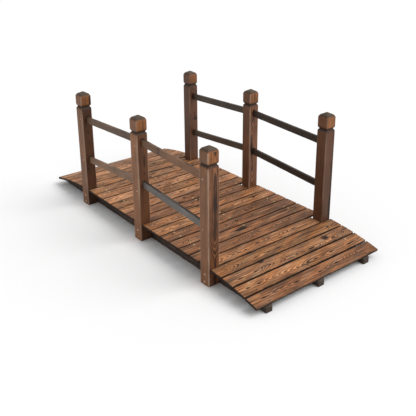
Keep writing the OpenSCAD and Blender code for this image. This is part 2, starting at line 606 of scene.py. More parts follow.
@dataclass(frozen=True)
class Figure:
    """How the grain runs in one stick, in millimetres.

    The heart is the line that the rings' points lie on. Flames are rows of nested points on it, and
    eyes are long dark stretches of it, each given by its blunt end and the end of its tail.
    """

    heart: tuple[Pair, ...]
    flames: tuple[Flame, ...] = ()
    eyes: tuple[Pair, ...] = ()
    marks: tuple[Mark, ...] = ()

    def heart_at(self, along: np.ndarray) -> np.ndarray:
        """Gives the heart line's place across the face, in metres."""
        return eased(along / MM, self.heart) * MM

    def drift_at(self, along: np.ndarray, across: np.ndarray) -> np.ndarray:
        """Gives the count of rings along the stick, with the swirl round its knots.

        Args:
            along: Distance along the stick.
            across: Distance across its face.

        Returns:
            The count at each point.
        """
        place = along / MM
        count = np.full(np.shape(along), CLEAR_WOOD)
        for flame in self.flames:
            count = count + flame.count * np.clip((place - flame.start) / (flame.end - flame.start), 0, 1)
        count = count - self._dip(place)
        for mark in self.marks:
            if mark.knot:
                count = count + KNOT_RINGS * np.exp(-mark.reach(along, across) / KNOT_SWIRL)
        return count

    def char_at(self, along: np.ndarray, across: np.ndarray) -> np.ndarray:
        """Gives how charred each point is by the marks and the eyes, below 0 where it is paler.

        Args:
            along: Distance along the stick.
            across: Distance across its face.

        Returns:
            The char at each point.
        """
        off = (across - self.heart_at(along)) / MM
        depth = np.clip(self._dip(along / MM) - TIP_DIP, 0, 1) / EYE_DIP
        char = EYE_CHAR * depth * bell(off, EYE_HALF + EYE_SWELL * depth)
        for mark in self.marks:
            char = char + mark.strength * np.clip(MARK_EDGE - mark.reach(along, across), 0, 1)
        return char

    def _dip(self, place: np.ndarray) -> np.ndarray:
        """Gives how far the heart dips at the eyes, in rings.

        Args:
            place: Distance along the stick, in millimetres.

        Returns:
            The dip at each place: a little at the tips of an eye and more inside.
        """
        dip = np.zeros(np.shape(place))
        for blunt, tail in self.eyes:
            share = (place - blunt) / (tail - blunt)
            inside = np.clip(np.minimum(share / EYE_WIDEST, (1 - share) / (1 - EYE_WIDEST)), 0, 1) ** 1.1
            past = np.maximum(-share, share - 1) * abs(tail - blunt)
            dip = np.maximum(dip, TIP_DIP * near(past, EYE_FADE) + EYE_DIP * inside)
        return dip


@dataclass(frozen=True)
class GrainHabit:
    """The ranges that made-up grain is drawn from, in millimetres, for sticks that the photograph hides.

    Lively says how many flames and eyes a stick has, against a usual one. The places of marks and
    knots along the stick, mark_along and knot_along, are shares of its half length.
    """

    lively: float = 1.0
    first_gap: Pair = (5, 50)
    gap: Pair = (0, 50)
    clear_end: float = 30
    flame_share: float = 0.6
    flame_points: tuple[int, int] = (2, 7)
    point_gap: Pair = (13, 26)
    eye_length: Pair = (16, 46)
    heart_sway: float = 9
    heart_points: int = 5
    mark_count: tuple[int, int] = (4, 10)
    mark_along: float = 0.95
    mark_across: float = 24
    mark_half_length: Pair = (8, 45)
    mark_half_width: Pair = (1.5, 5)
    mark_char: Pair = (0.4, 1.0)
    knot_share: float = 0.6
    knot_size: Pair = (5, 9)
    knot_along: float = 0.9
    knot_across: float = 16
    knot_length: float = 1.3
    knot_char: float = 0.9

    def figure(self, seed: int, reach: float) -> Figure:
        """Makes up the grain of one stick.

        Args:
            seed: Number that fixes the grain.
            reach: Half the stick's length.

        Returns:
            The stick's figure.
        """
        rng = np.random.default_rng(seed)
        way = int(rng.choice((-1, 1)))
        flames = []
        eyes = []
        place = -reach + rng.uniform(*self.first_gap)
        while place < reach - self.clear_end:
            if rng.random() < self.flame_share:
                count = int(rng.integers(*self.flame_points))
                end = place + count * rng.uniform(*self.point_gap)
                flames.append(Flame(place, end, way * count))
            else:
                end = place + rng.uniform(*self.eye_length)
                eyes.append((place, end))
            place = end + rng.uniform(*self.gap) / self.lively
        sway = self.heart_sway
        heart = [(a, rng.uniform(-sway, sway)) for a in np.linspace(-reach, reach, self.heart_points)]
        return Figure(tuple(heart), tuple(flames), tuple(eyes), self._marks(rng, reach))

    def _marks(self, rng: np.random.Generator, reach: float) -> tuple[Mark, ...]:
        """Makes up the charred patches of one stick, and a knot in some.

        Args:
            rng: What the numbers are drawn from.
            reach: Half the stick's length.

        Returns:
            The marks.
        """
        marks = []
        for _ in range(int(rng.integers(*self.mark_count))):
            along = rng.uniform(-self.mark_along, self.mark_along) * reach
            across = rng.uniform(-self.mark_across, self.mark_across)
            halves = rng.uniform(*self.mark_half_length), rng.uniform(*self.mark_half_width)
            marks.append(Mark(along, across, *halves, rng.uniform(*self.mark_char)))
        if rng.random() < self.knot_share:
            size = rng.uniform(*self.knot_size)
            along = rng.uniform(-self.knot_along, self.knot_along) * reach
            across = rng.uniform(-self.knot_across, self.knot_across)
            marks.append(Mark(along, across, self.knot_length * size, size, self.knot_char, knot=True))
        return tuple(marks)


# The grain of the boards at the right-hand end, which the photograph shows best
BOARD_FIGURES: dict[int, Figure] = {
    1: Figure(
        heart=((-331, -1), (-255, 0), (-172, -3), (-95, 1), (20, 4), (118, 0), (331, -2)),
        flames=(Flame(-230, -125, -3), Flame(40, 100, -2), Flame(150, 245, -5)),
        eyes=((-290, -230), (-122, -68), (6, 36), (100, 150)),
        marks=(Mark(-178, 12, 14, 3, 0.5), Mark(285, 24, 60, 9, 0.4), Mark(-190, -7, 62, 2.6, 0.75),
               Mark(-30, 17, 75, 2.4, 0.5)),
    ),
    2: Figure(
        heart=((-331, -2), (-240, 0), (-125, 2), (-60, 8), (150, 9), (280, 10), (331, 8)),
        flames=(Flame(-208, 34, -8), Flame(84, 130, -1), Flame(302, 331, -1)),
        eyes=((-304, -254), (-246, -210), (46, 84), (132, 174), (226, 310)),
        marks=(Mark(278, 10, 24, 4, 0.5),),
    ),
    3: Figure(
        heart=((-331, 9), (-265, 10), (-195, 9), (-150, 3), (-112, 8), (-75, 12), (20, 14), (100, 17),
               (331, 6)),
        flames=(Flame(-170, -40, 7), Flame(36, 66, 1), Flame(140, 180, 2), Flame(236, 310, 4)),
        eyes=((-292, -244), (-212, -174), (4, 34), (68, 138)),
        marks=(Mark(197, -8, 22, 16, 0.66, knot=True), Mark(-141, -26, 16, 10, 0.7, knot=True),
               Mark(235, 4, 64, 26, 0.26)),
    ),
    4: Figure(
        heart=((-331, 5), (-200, 6), (0, 7), (331, 8)),
        flames=(Flame(-292, -196, 5), Flame(-96, -40, 1), Flame(262, 310, 2)),
        eyes=((-156, -98), (-36, 22)),
    ),
    5: Figure(
        heart=((-283, 6), (-128, 8), (-55, -3), (35, -1), (150, 0), (283, 1)),
        flames=(Flame(-262, -150, 4), Flame(-30, 20, 2), Flame(54, 118, 3)),
        eyes=((-142, -112), (-70, -36), (124, 178)),
        marks=(Mark(48, 22, 14, 4, 0.6),),
    ),
    6: Figure(
        heart=((-331, 0), (-70, -5), (117, -5), (195, -9), (331, -6)),
        flames=(Flame(-100, -50, 3),),
        eyes=((108, 128), (148, 166), (186, 204)),
        marks=(Mark(-18, -7, 14, 9, 0.6, knot=True),),
    ),
    7: Figure(
        heart=((-331, 2), (-120, 4), (10, 1), (200, 3), (331, 0)),
        flames=(Flame(82, 118, -2), Flame(284, 331, -2)),
        eyes=((-270, -246),),
        marks=(Mark(-28, -1, 37, 10, 1.3), Mark(-12, -18, 38, 6, 0.6), Mark(250, -12, 70, 7, 0.55),
               Mark(300, 4, 34, 22, 0.4), Mark(190, 3, 60, 7, -0.6), Mark(-120, 6, 60, 14, -0.5)),
    ),
    8: Figure(
        heart=((-331, 6), (-200, 6), (0, -4), (331, -4)),
        flames=(Flame(-294, -254, 3), Flame(-66, 0, 3)),
        eyes=((-224, -204),),
        marks=(Mark(5, -4, 12, 10, 0.8, knot=True), Mark(97, -5, 14, 7, 0.6)),
    ),
}


@dataclass(frozen=True)
class Screw:
    """One screw head: the middle of its face, the way that it faces, its turn about that, its size."""

    place: Vector
    facing: Vector
    turn: float
    size: float = 1.0

    def pose(self) -> Matrix:
        """Gives what stands a head on its place, turned to its own angle.

        Returns:
            The head's pose.
        """
        facing = self.facing.to_track_quat("Z", "Y").to_matrix().to_4x4()
        turned = facing @ Matrix.Rotation(self.turn, 4, "Z")
        return Matrix.Translation(self.place) @ turned @ Matrix.Scale(self.size, 4)


@dataclass
class ScrewSet:
    """A set of countersunk screw heads with cross recesses, joined in one piece."""

    name: str
    screws: list[Screw]
    head_radius: float = 3.8 * MM
    recess_half: float = 2.1 * MM
    slot_half: float = 0.55 * MM
    recess_depth: float = 1.0 * MM
    recess_foot: float = 0.72
    face_share: float = 0.86
    rim_fall: float = 0.35 * MM
    cone_foot: float = 0.55
    cone_depth: float = 1.6 * MM
    corners: int = 24

    def build(self, finish: Material) -> bpy.types.Object:
        """Builds the heads and dresses them.

        Args:
            finish: Their material.

        Returns:
            The new piece.
        """
        points: list[Vector] = []
        faces: Faces = []
        head_points, head_faces = self._head()
        for screw in self.screws:
            pose = screw.pose()
            start = len(points)
            points.extend(pose @ p for p in head_points)
            faces.extend(tuple(start + i for i in face) for face in head_faces)
        mesh = bpy.data.meshes.new(self.name)
        mesh.from_pydata(points, [], faces)
        mesh.materials.append(finish)
        return place_piece(mesh, self.name, "screw_steel")

    def _head(self) -> tuple[list[Vector], Faces]:
        """Makes one head: cross recess, slightly domed face, rim and the cone under it.

        Returns:
            Its points and its faces.
        """
        a, s, r = self.recess_half, self.slot_half, self.head_radius
        cross = turned_round([(a, -s), (a, s), (s, s)])
        count = self.corners
        start = math.atan2(-s, a)
        angles = [2 * math.pi * i / count + start for i in range(count)]
        circle = [(math.cos(t), math.sin(t)) for t in angles]
        points = [
            Vector((size * x, size * y, z))
            for outline, size, z in (
                (cross, 1.0, 0.0), (cross, self.recess_foot, -self.recess_depth),
                (circle, self.face_share * r, 0.0), (circle, r, -self.rim_fall),
                (circle, self.cone_foot * r, -self.cone_depth))
            for x, y in outline
        ]
        n = len(cross)
        faces: Faces = [(i, n + i, n + (i + 1) % n, (i + 1) % n) for i in range(n)]
        faces.append(tuple(n + i for i in range(n)))
        inner, rim, foot = 2 * n, 2 * n + count, 2 * n + 2 * count
        step = count // n
        for i in range(n):
            outer = [inner + (i * step + k) % count for k in range(step + 1)]
            faces.append((i, *outer, (i + 1) % n))
        for k in range(count):
            after = (k + 1) % count
            faces.append((inner + k, rim + k, rim + after, inner + after))
            faces.append((rim + k, foot + k, foot + after, rim + after))
        faces.append(tuple(foot + k for k in reversed(range(count))))
        return points, faces


def place_piece(mesh: Mesh, name: str, slot: str, *nodes: str) -> bpy.types.Object:
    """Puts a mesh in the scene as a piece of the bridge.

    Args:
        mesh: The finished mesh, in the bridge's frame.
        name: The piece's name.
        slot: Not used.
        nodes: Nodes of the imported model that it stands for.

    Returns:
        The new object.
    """
    piece = show(name, mesh)
    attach(piece, BODY)
    if nodes:
        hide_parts(*nodes)
    LOG.info("%s: %d faces", name, len(mesh.polygons))
    return piece


@dataclass
class Stick:
    """A length of sawn wood as a fine grid over a box, before it is bent, cut or placed.

    Its own axes are along, across and up. The grid's lines are given for each axis.
    """

    along: np.ndarray
    across: np.ndarray
    up: np.ndarray
    radius: float = 1.6 * MM

    def __post_init__(self) -> None:
        """Lays out the points and the faces of the grid."""
        lines = (self.along, self.across, self.up)
        counts = [len(line) for line in lines]
        index: dict[tuple[int, int, int], int] = {}
        points: list[tuple[float, float, float]] = []
        faces: Faces = []

        def corner(key: tuple[int, int, int]) -> int:
            """Gives the number of a grid point, adding it the first time.

            Args:
                key: Which line of the grid it is on, for each axis.

            Returns:
                Its number.
            """
            if key not in index:
                index[key] = len(points)
                points.append(tuple(lines[axis][key[axis]] for axis in range(3)))
            return index[key]

        for axis in range(3):
            one, two = (axis + 1) % 3, (axis + 2) % 3
            for end in (0, counts[axis] - 1):
                for i in range(counts[one] - 1):
                    for j in range(counts[two] - 1):
                        square = []
                        for di, dj in ((0, 0), (1, 0), (1, 1), (0, 1)):
                            key = [0, 0, 0]
                            key[axis], key[one], key[two] = end, i + di, j + dj
                            square.append(corner(tuple(key)))
                        faces.append(tuple(square) if end else tuple(reversed(square)))
        self.points = np.array(points)
        self.faces = faces

    def soften(self, seed: int, uneven: float = 0.35, under: float = 1.0, length: float = 90 * MM) -> None:
        """Rounds the arrises, a little more here and a little less there.

        Args:
            seed: Number that fixes where they are rounder.
            uneven: Share by which the radius varies.
            under: The radius of the arrises underneath, as a share of the others.
            length: Length over which it goes from rounder to sharper and back.
        """
        low = self.points.min(0)
        high = self.points.max(0)
        swing = np.clip(wobble(seed, length)(self.points[:, 0]), -1, 1)
        radius = self.radius * (1 + uneven * swing)
        radius = radius * np.where(self.points[:, 2] < (low[2] + high[2]) / 2, under, 1)
        core = np.clip(self.points, low + radius[:, None], high - radius[:, None])
        away = self.points - core
        distance = np.linalg.norm(away, axis=1)
        outside = distance > 1e-9
        scale = np.ones(len(distance))
        scale[outside] = radius[outside] / distance[outside]
        self.points = core + away * scale[:, None]

    def dimple(self, spots: Sequence[Pair], reach: float, depth: float, steep: float = 1.8) -> None:
        """Presses a small hollow into the top face round each screw.

        Args:
            spots: Where the screws are, along and across.
            reach: Radius of a hollow.
            depth: Its depth in the middle.
            steep: How much sooner than at the middle it is that deep.
        """
        top = self.points[:, 2] > self.points[:, 2].max() - self.radius
        for along, across in spots:
            away = np.hypot(self.points[:, 0] - along, self.points[:, 1] - across)
            self.points[:, 2] -= np.where(top, depth * np.minimum(1, steep * near(away, reach)), 0)

    def arris(self, reach: float = 1.6) -> np.ndarray:
        """Gives 1 at the long arrises and the ends' rims, falling to 0 a little way in.

        Args:
            reach: How far in that is, as a share of the radius.

        Returns:
            The value at each point.
        """
        spans = [(line[0], line[-1]) for line in (self.along, self.across, self.up)]
        half = np.array([high - low for low, high in spans]) / 2
        centre = np.array([high + low for low, high in spans]) / 2
        inward = half - np.abs(self.points - centre)
        return near(np.sort(inward, axis=1)[:, 1], reach * self.radius)


@dataclass
class WoodLook:
    """What the fir finish reads on each point of a stick.

    Grain is the place from the pith line, with the distance along the stick last. Drift counts the
    rings passed along the stick. Dress holds the strength of the bands, the char with painted shade
    added in places, and the wear. Tint is the wood's colour, with painted shade on some faces.
    """

    grain: np.ndarray
    drift: np.ndarray
    dress: np.ndarray
    tint: np.ndarray

    def dress_mesh(self, mesh: Mesh, finish: Material, sharp: float = 50.0) -> Mesh:
        """Writes the values on the points of a mesh and gives it its material.

        Args:
            mesh: The mesh.
            finish: Its material.
            sharp: Angle past which an edge stays sharp, in degrees.

        Returns:
            The same mesh.
        """
        for name, values in (("grain", self.grain), ("dress", self.dress), ("tint", self.tint)):
            layer = mesh.attributes.new(name, "FLOAT_VECTOR", "POINT")
            layer.data.foreach_set("vector", np.ascontiguousarray(values, np.float32).ravel())
        layer = mesh.attributes.new("drift", "FLOAT", "POINT")
        layer.data.foreach_set("value", np.ascontiguousarray(self.drift, np.float32))
        mesh.materials.clear()
        mesh.materials.append(finish)
        mesh.shade_smooth()
        mesh.set_sharp_from_angle(angle=math.radians(sharp))
        return mesh


def lay_stick(node: str, slot: str, points: np.ndarray, faces: Faces, look: WoodLook,
              finish: Material) -> None:
    """Puts a stick in the scene in the place of its node.

    Args:
        node: The node that it stands for.
        slot: Name of a material slot, handed on to place_piece.
        points: Its points, in the bridge's frame.
        faces: Its faces.
        look: What the finish reads on its points.
        finish: Its material.
    """
    mesh = bpy.data.meshes.new(node + "_fir")
    mesh.from_pydata([tuple(p) for p in points], [], faces)
    place_piece(look.dress_mesh(mesh, finish), node + "_fir", slot, node)


@dataclass(frozen=True)
class DeckLine:
    """The deck's top, seen from the side: level in the middle and curved down at both ends."""

    height: float = 78 * MM
    flat: float = 864 * MM
    radius: float = 1380 * MM

    def slope(self, s: float) -> float:
        """Gives the slope at a distance s from the middle, in radians, positive where it falls."""
        return math.copysign(max(abs(s) - self.flat / 2, 0), s) / self.radius

    def pose(self, s: float) -> Matrix:
        """Gives the place and the slope of the deck's top at a distance along it.

        Args:
            s: The distance, from the middle.

        Returns:
            What stands a board there.
        """
        slope = self.slope(s)
        x = math.copysign(min(abs(s), self.flat / 2), s) + self.radius * math.sin(slope)
        point = Vector((x, 0, self.height - self.radius * (1 - math.cos(slope))))
        return Matrix.Translation(point) @ Matrix.Rotation(slope, 4, "Y")

    def under(self, x: np.ndarray, drop: float) -> np.ndarray:
        """Gives the height of the curve that runs below the deck's top.

        Args:
            x: Places along the bridge.
            drop: How far below the top it runs.

        Returns:
            The heights.
        """
        reach = np.maximum(np.abs(x) - self.flat / 2, 0)
        radius = self.radius - drop
        return self.height - drop - radius + np.sqrt(radius ** 2 - reach ** 2)


@dataclass
class Deck:
    """The boards across the bridge, with their screws.

    Tones holds the first letter of each board's tone, from board 1 on. The dapple and the shades are
    each the size of a swing and the length of its longest wave. The screw rows are places along Y.
    The grain step, here and in the other sticks, is how far apart two sticks lie in the noises.
    """

    line: DeckLine = field(default_factory=DeckLine)
    count: int = 23
    pitch: float = 66.7 * MM
    width: float = 59.5 * MM
    thickness: float = 10 * MM
    rim: Pair = (0.5 * MM, 1.6 * MM)
    underside: float = 0.3
    tones: str = "BATRABBBBAABBHRHATRRHRT"
    ring: float = 8.5 * MM
    pith_depth: float = 4 * MM
    band_reach: float = 13 * MM
    band_floor: float = 0.35
    faint_boards: Pair = (0.5, 1.0)
    grid: Pair = (6 * MM, 4 * MM)
    dapple: Pair = (0.3, 120 * MM)
    long_shade: Pair = (0.16, 400 * MM)
    short_shade: Pair = (0.12, 90 * MM)
    light_lean: Colour = (0.8, 1.0, 1.2)
    shade_slant: float = 1.5
    warm_length: float = 160 * MM
    warm_slant: float = 2.5
    warm_lean: Colour = (0.07, -0.02, -0.16)
    char_depth: float = 2 * MM
    grain_step: float = 3.1
    burnt_rim: float = 5 * MM
    burnt_end: float = 1.4 * MM
    end_char: float = 1.1
    under_char_and_shade: float = 0.9
    left_char_and_shade: float = 1.5
    right_char: float = 0.6
    screw_across: float = 20.5 * MM
    screw_sunk: float = 0.35 * MM
    screw_rows: dict[str, float] = field(
        default_factory=lambda: {"front": -264 * MM, "middle": 3 * MM, "back": 268 * MM})
    hollow: Pair = (5.5 * MM, 0.9 * MM)
    hollow_lines: tuple[float, ...] = (-4.4 * MM, -2.2 * MM, 0.0, 2.2 * MM, 4.4 * MM)
    screws: dict[str, list[Screw]] = field(default_factory=dict)

    def build(self) -> None:
        """Builds every board and the screws that hold them."""
        finish = CharredFir("deck_fir", ring=self.ring).build()
        for number in range(1, self.count + 1):
            self._board(number, finish)
        zinc = ZincSteel().build()
        for row, screws in self.screws.items():
            ScrewSet(f"deck_screws_{row}", screws).build(zinc)

    def _board(self, number: int, finish: Material) -> None:
        """Builds one board.

        Args:
            number: The board's number, from 1 at the right-hand end.
            finish: Its material.
        """
        node = f"deck_board_{number:02d}"
        low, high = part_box(node)
        figure = BOARD_FIGURES.get(number) or GrainHabit().figure(100 + number, (high.y - low.y) / 2 / MM)
        spots = [(y, w) for y in self.screw_rows.values() for w in (-self.screw_across, self.screw_across)]
        stick = self._stick(low.y, high.y)
        stick.soften(number, under=self.underside)
        stick.dimple(spots, *self.hollow)
        pose = self.line.pose(((self.count + 1) // 2 - number) * self.pitch)
        turned = np.array([pose @ Vector((p[1], p[0], p[2])) for p in stick.points])
        faces = [tuple(reversed(face)) for face in stick.faces]
        lay_stick(node, "deck_wood", turned, faces, self._look(stick, figure, number), finish)
        self._drive_screws(number, spots, pose)

    def _stick(self, front: float, back: float) -> Stick:
        """Lays out a board's grid, with closer lines round the screws.

        Args:
            front: Where the board starts, along Y.
            back: Where it ends.

        Returns:
            The board before it is placed.
        """
        rim = np.array(self.rim)
        half = self.width / 2
        rows = [y + f for y in self.screw_rows.values() for f in self.hollow_lines]
        sides = [side * self.screw_across + f for side in (-1, 1) for f in self.hollow_lines]
        along = ribs(front, back, self.grid[0], rim, rows)
        across = ribs(-half, half, self.grid[1], rim, sides)
        return Stick(along, across, ribs(-self.thickness, 0.0, self.thickness, rim))

    def _look(self, stick: Stick, figure: Figure, number: int) -> WoodLook:
        """Works out what the finish reads on a board.

        Args:
            stick: The board.
            figure: Its grain.
            number: Its number.

        Returns:
            The board's look.
        """
        y, w, z = stick.points.T
        off_heart = w - figure.heart_at(y)
        grain = np.stack([off_heart, z + self.pith_depth, y + self.grain_step * number], 1)
        drift = figure.drift_at(y, w) - self.pith_depth / self.ring
        bold = 1.0
        if number not in BOARD_FIGURES:
            bold = np.random.default_rng(30 + number).uniform(*self.faint_boards)
        dapple = 1 - self.dapple[0] / 2 + sway(240 + number, self.dapple, y)
        bands = bold * dapple * (self.band_floor + (1 - self.band_floor) * bell(off_heart, self.band_reach))
        marked = figure.char_at(y, w)
        char = scorched(marked) * (z > -self.char_depth) + self._burnt_and_shaded(stick)
        dress = np.stack([bands, char, np.zeros(len(y))], 1)
        return WoodLook(grain, drift, dress, self._tint(stick, marked, number))

    def _burnt_and_shaded(self, stick: Stick) -> np.ndarray:
        """Gives how charred a board is at its ends and edges, with painted shade on its sides, underneath
        and along its left-hand edge.

        Args:
            stick: The board.

        Returns:
            The char and painted shade at each point.
        """
        y, w, z = stick.points.T
        half = self.width / 2
        end = near(np.minimum(y - y.min(), y.max() - y), self.burnt_end)
        # Painted shade as well as char: the sides darken downwards and the underside is dark
        below = np.clip(-z / self.thickness, 0, 1)
        # Painted shade as well as char along the left-hand edge, beside the gap between boards
        left = np.clip((self.burnt_rim - half - w) / self.burnt_rim, 0, 1)
        right = np.clip((w - half + self.burnt_rim / 2) / self.burnt_rim, 0, 1)
        char = self.end_char * end + self.under_char_and_shade * below
        return char + self.left_char_and_shade * left + self.right_char * right

    def _tint(self, stick: Stick, marked: np.ndarray, number: int) -> np.ndarray:
        """Gives a board's colour, lighter and darker, warmer and cooler along it.

        Args:
            stick: The board.
            marked: Its char by the marks, below 0 where it is paler.
            number: Its number.

        Returns:
            The colour at each point.
        """
        y, w, _ = stick.points.T
        letters = {tone.name[0]: tone for tone in Tone}
        light = 1 + sway(200 + number, self.long_shade, y)
        light = light + sway(270 + number, self.short_shade, y + self.shade_slant * w)
        light = light * paled(marked)
        tint = letters[self.tones[number - 1]].shaded(1) * light[:, None] ** np.array(self.light_lean)
        warmth = wobble(310 + number, self.warm_length)(y + self.warm_slant * w)
        return tint * (1 + warmth[:, None] * np.array(self.warm_lean))

    def _drive_screws(self, number: int, spots: list[Pair], pose: Matrix) -> None:
        """Adds a board's screws to the rows that they belong to.

        Args:
            number: The board's number.
            spots: Their places along and across the board, two in each row.
            pose: The board's place.
        """
        rng = np.random.default_rng(900 + number)
        up = (pose.to_3x3() @ Vector((0, 0, 1))).normalized()
        rows = [row for row in self.screw_rows for _ in range(2)]
        for row, (y, w) in zip(rows, spots):
            head = pose @ Vector((w, y, -self.screw_sunk))
            self.screws.setdefault(row, []).append(Screw(head, up, rng.uniform(0, math.pi / 2)))


@dataclass
class Stringers:
    """The three boards on edge that lie flat on the ground under the deck."""

    line: DeckLine = field(default_factory=DeckLine)
    board: float = 10 * MM
    nose: float = 6 * MM
    radius: float = 1.5 * MM
    rim: Pair = (0.5 * MM, 1.5 * MM)
    grid: tuple[float, float, float] = (12 * MM, 5 * MM, 6 * MM)
    ring: float = 4.2 * MM
    pith_up: float = 20 * MM
    pith_aside: float = 24 * MM
    grain_start: float = 7.3
    grain_step: float = 5.7
    bands: float = 0.7
    wear: float = 0.3
    end_char: float = 0.3
    # How much and over what height the stringers darken towards the foot
    foot_darkening: float = 0.25
    foot_reach: float = 8 * MM

    def build(self) -> None:
        """Builds the three stringers."""
        finish = CharredFir("stringer_fir", worn=paint("6f5e52"), ring=self.ring, roughness=0.62).build()
        for number, row in enumerate(("front", "middle", "back")):
            self._stringer(f"stringer_{row}", number, finish)

    def _stringer(self, node: str, number: int, finish: Material) -> None:
        """Builds one stringer.

        Args:
            node: The node that it stands for.
            number: Its number, from the front.
            finish: Its material.
        """
        low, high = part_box(node)
        tall = self.line.height - self.board
        rim = np.array(self.rim)
        along = ribs(low.x, high.x, self.grid[0], rim, (low.x + self.nose, high.x - self.nose))
        across = ribs(low.y, high.y, self.grid[1], rim)
        stick = Stick(along, across, ribs(0, tall, self.grid[2], rim), self.radius)
        stick.soften(40 + number)
        x, y, z = stick.points.T
        height = self._top(x, high.x) * z / tall
        middle = (low.y + high.y) / 2
        figure = GrainHabit(lively=0.6).figure(60 + number, high.x / MM)
        shifted = x + self.grain_start + self.grain_step * number
        grain = np.stack([y - middle + self.pith_aside, height - self.pith_up, shifted], 1)
        end = self.end_char * near(high.x - np.abs(x), self.radius)
        # The stringer darkens towards its foot
        char = figure.char_at(x, height) + end + self.foot_darkening * near(height, self.foot_reach)
        dress = np.stack([np.full(len(x), self.bands), char, self.wear * stick.arris()], 1)
        look = WoodLook(grain, figure.drift_at(x, height), dress, np.tile(Tone.COAL.value, (len(x), 1)))
        lay_stick(node, "stringer_wood", np.stack([x, y, height], 1), stick.faces, look, finish)

    def _top(self, x: np.ndarray, end: float) -> np.ndarray:
        """Gives the height of a stringer's upper edge, with the corner off its nose.

        Args:
            x: Places along the stringer.
            end: Where it ends.

        Returns:
            The heights.
        """
        curve = self.line.under(x, self.board)
        start, tip = self.line.under(np.array([end - self.nose, end]), self.board)
        past = np.clip((np.abs(x) - end + self.nose) / self.nose, 0, 1)
        return np.where(past > 0, start + (tip - self.nose - start) * past, curve)


@dataclass(frozen=True)
class RailLine:
    """The sloping line of one rail, from post to post, and the size of its section."""

    start: Vector
    end: Vector
    height: float = 30 * MM
    thickness: float = 11 * MM

    def top(self, x: np.ndarray) -> np.ndarray:
        """Gives the height of the rail's top at each x."""
        return self.start.z + (self.end.z - self.start.z) * (x - self.start.x) / (self.end.x - self.start.x)

    def depth(self) -> float:
        """Gives the rail's height measured upright."""
        rise = (self.end.z - self.start.z) / (self.end.x - self.start.x)
        return self.height * math.hypot(1, rise)


@dataclass(frozen=True)
class RailStainAndShade:
    """How a rail is stained, with painted shade, at its left and right ends, how burnt its top is, and
    where a knot sits.
    """

    left: Tone
    right: Tone
    left_level: float
    right_level: float
    burnt_top: float = 0.3
    knot: Optional[float] = None

    def colours(self, share: np.ndarray) -> np.ndarray:
        """Gives the stain with its painted shade at each share of the way from the left end to the right
        one.
        """
        left, right = self.left.shaded(self.left_level), self.right.shaded(self.right_level)
        return left + (right - left) * share[:, None]


# The rails' stains with painted shade, darkest on the back rails, by the part of the name that tells them
# apart
RAIL_STAINS_AND_SHADE: dict[str, RailStainAndShade] = {
    "front_left_upper": RailStainAndShade(Tone.FAWN, Tone.FAWN, 0.62, 0.55),
    "front_left_lower": RailStainAndShade(Tone.FAWN, Tone.FAWN, 1.05, 1.1),
    "front_right_upper": RailStainAndShade(Tone.FAWN, Tone.BROWN, 0.85, 0.78, knot=-84 * MM),
    "front_right_lower": RailStainAndShade(Tone.SLATE, Tone.SLATE, 0.85, 0.88, burnt_top=0.8),
    "back_left_upper": RailStainAndShade(Tone.SMOKED, Tone.SMOKED, 0.36, 0.36),
    "back_left_lower": RailStainAndShade(Tone.SMOKED, Tone.SMOKED, 0.52, 0.48),
    "back_right": RailStainAndShade(Tone.SMOKED, Tone.SMOKED, 0.25, 0.22),
}


@dataclass(frozen=True)
class PostStainAndShade:
    """How a post is stained, with painted shade for how light falls, on its faces along the bridge, on
    those across it and on its cap.
    """

    face: Tone
    side: Tone
    face_level: float = 1.0
    side_level: float = 1.0
    cap_level: float = 1.0
    cap_side_level: float = 1.0
    roof_level: float = 0.5
    side_bands: float = 0.2
    wear: float = 0.85


# The posts' stains with painted shade on each face, from front left to back right
POST_STAINS_AND_SHADE: tuple[PostStainAndShade, ...] = (
    PostStainAndShade(Tone.BROWN, Tone.UMBER, 0.74, 0.42, 0.74, 0.58, wear=0.55),
    PostStainAndShade(Tone.BROWN, Tone.UMBER, 0.95, 0.82, 0.75, 0.8),
    PostStainAndShade(Tone.BROWN, Tone.UMBER, 0.8, 1.15, 0.7, 0.9, side_bands=0.85),
    PostStainAndShade(Tone.UMBER, Tone.UMBER, 0.7, 0.73, 0.8, 0.62, wear=0.45),
    PostStainAndShade(Tone.UMBER, Tone.UMBER, 0.95, 1.3, 0.95, 0.72, side_bands=0.75),
    PostStainAndShade(Tone.UMBER, Tone.UMBER, 0.7, 0.64, 1.0, 0.8, wear=0.35),
)

# The grain of three posts, by their numbers in that order, with heights from the middle in millimetres
POST_FIGURES: dict[int, Figure] = {
    2: Figure(
        heart=((-280, 3), (-150, 4), (0, 6), (130, 6), (280, 6)),
        flames=(Flame(-168, -84, -3), Flame(150, 275, 1)),
        marks=(Mark(-5, 3, 108, 40, 0.5), Mark(100, 6, 78, 12, 0.28), Mark(118, 13, 52, 2.5, 0.3),
               Mark(90, -18, 130, 6, -0.6), Mark(264, 7, 26, 4.5, 0.9)),
    ),
    4: Figure(
        heart=((-280, 4), (-100, -6), (60, -12), (160, 0), (280, 4)),
        flames=(Flame(-230, -120, -3), Flame(60, 190, 3)),
        eyes=((-48, 62),),
        marks=(Mark(-4, -15, 46, 5, 0.9), Mark(-108, -11, 20, 4, 0.8), Mark(225, 10, 30, 3, 0.6)),
    ),
    5: Figure(
        heart=((-280, 6), (-60, 8), (80, 2), (280, 0)),
        flames=(Flame(-190, -90, -3), Flame(120, 200, 2)),
        marks=(Mark(-50, 19, 190, 9, 0.6), Mark(-150, 15, 60, 9, 0.6), Mark(40, 12, 34, 3, 0.5)),
    ),
}

# Burnt streaks on the side of the caps that looks along the bridge, by the posts' numbers
CAP_MARKS: dict[int, tuple[Mark, ...]] = {
    0: (Mark(240, -2, 24, 2.2, 0.6),),
    1: (Mark(240, 6, 30, 2.8, 1.0), Mark(246, 24, 34, 4, 0.7)),
    3: (Mark(246, 24, 34, 4, 0.6),),
    5: (Mark(246, -25, 30, 2.5, 0.7), Mark(246, 22, 34, 6, 0.45)),
}


